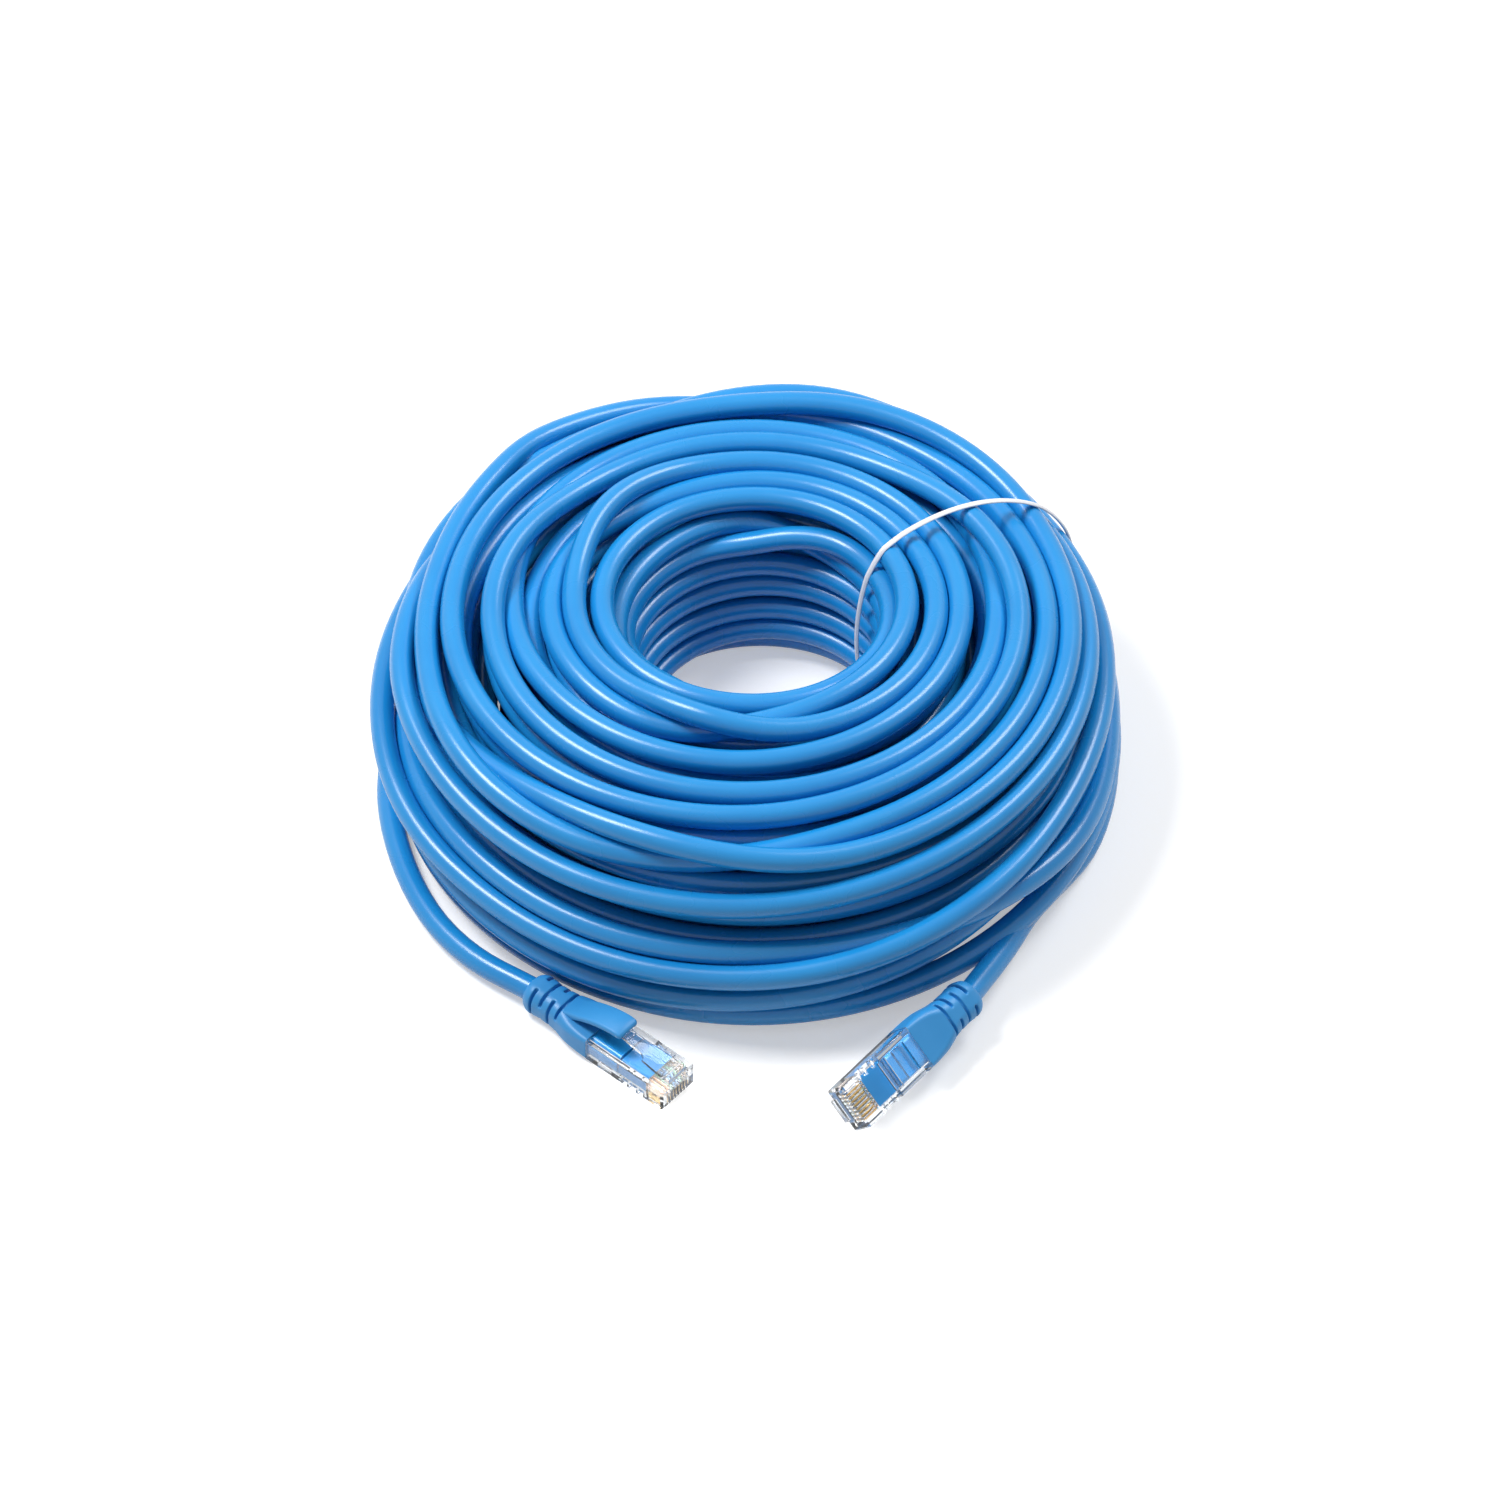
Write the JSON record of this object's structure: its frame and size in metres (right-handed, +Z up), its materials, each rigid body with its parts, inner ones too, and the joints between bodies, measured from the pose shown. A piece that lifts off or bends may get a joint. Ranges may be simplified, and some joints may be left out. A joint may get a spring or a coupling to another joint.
{
  "type": "ethernet patch cable",
  "caption": "Long round network patch cable, wound into a ring-shaped coil with a wire tie, with a modular plug in a moulded boot on each end.",
  "frame": {"origin": "middle of the footprint of the coil and its two plugs, on the surface that the coil lies on", "axes": "+Z up along the coil's axis; the plugs lie towards -Y, plug A on the -X side with its latch up and plug B on the +X side with its contacts up"},
  "size_m": [0.1838, 0.2183, 0.0509],
  "materials": {
    "jacket": "smooth soft PVC, satin gloss",
    "jacket_shade": "inner turns of the same PVC jacket, seen only in gaps",
    "boot": "soft moulded PVC, satin",
    "insert": "moulded wire guide",
    "clear_shell": "clear moulded polycarbonate",
    "contact_gold": "gold-plated contact blades",
    "tie": "white plastic-covered wire",
    "wire_orange": "wire insulation",
    "wire_green": "wire insulation",
    "wire_blue": "wire insulation",
    "wire_brown": "wire insulation"
  },
  "bodies": {
    "cable": {"cable_coil": "jacket", "coil_core": "jacket_shade", "cable_tail_a": "jacket", "cable_tail_b": "jacket", "tie_band": "tie", "tie_twist": "tie", "housing_a": "clear_shell", "contacts_a": "contact_gold", "load_bar_a": "insert", "jacket_end_a": "jacket", "boot_a": "boot", "pair_orange_a": "wire_orange", "pair_green_a": "wire_green", "pair_blue_a": "wire_blue", "pair_brown_a": "wire_brown", "housing_b": "clear_shell", "contacts_b": "contact_gold", "load_bar_b": "insert", "jacket_end_b": "jacket", "boot_b": "boot", "pair_orange_b": "wire_orange", "pair_green_b": "wire_green", "pair_blue_b": "wire_blue", "pair_brown_b": "wire_brown"},
    "guard_a": {"latch_guard_a": "boot"},
    "latch_a": {"latch_a": "clear_shell"},
    "guard_b": {"latch_guard_b": "boot"},
    "latch_b": {"latch_b": "clear_shell"}
  },
  "joints": [
    {"name": "guard_a_press", "type": "hinge", "parent": "cable", "child": "guard_a", "pos_m": [-0.04051, -0.07297, 0.00795], "axis": [0.6468, 0.7627, 0], "range_deg": [0, 10], "stiffness_Nm_per_rad": 0.00002},
    {"name": "latch_a_press", "type": "hinge", "parent": "cable", "child": "latch_a", "pos_m": [-0.01747, -0.0925, 0.00808], "axis": [-0.6468, -0.7627, 0], "range_deg": [0, 14]},
    {"name": "guard_b_press", "type": "hinge", "parent": "cable", "child": "guard_b", "pos_m": [0.04264, -0.07861, 0.00641], "axis": [-0.5726, 0.4737, 0.6691], "range_deg": [0, 10], "stiffness_Nm_per_rad": 0.00002},
    {"name": "latch_b_press", "type": "hinge", "parent": "cable", "child": "latch_b", "pos_m": [0.02308, -0.10162, 0.00597], "axis": [0.5726, -0.4737, -0.6691], "range_deg": [0, 14]}
  ],
  "couplings": [
    {"joint": "latch_a_press", "follows": "guard_a_press", "ratio": 1},
    {"joint": "latch_b_press", "follows": "guard_b_press", "ratio": 1}
  ]
}
